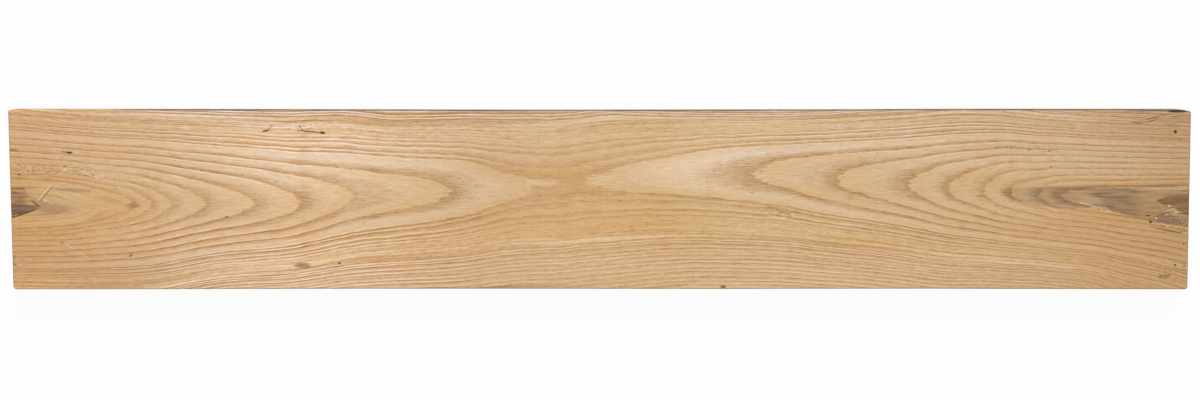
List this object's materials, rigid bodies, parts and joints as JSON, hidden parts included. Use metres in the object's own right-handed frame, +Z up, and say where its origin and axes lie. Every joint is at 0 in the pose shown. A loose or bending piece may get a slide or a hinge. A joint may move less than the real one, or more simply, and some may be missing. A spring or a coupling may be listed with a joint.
{
  "type": "reclaimed ash board",
  "caption": "Flat rectangular board of solid reclaimed ash with eased edges and corners, for shelves, tops and panels.",
  "frame": {"origin": "centre of the underside, in the plane the board rests on", "axes": "+X along the grain, +Y across the face towards the back long edge, +Z up out of the face"},
  "size_m": [1.314, 0.201, 0.028],
  "materials": {
    "ash": "planed, lightly brushed and matt, with open grain and grey weather stains"
  },
  "bodies": {
    "root": {"ash_board": "ash"}
  },
  "joints": []
}
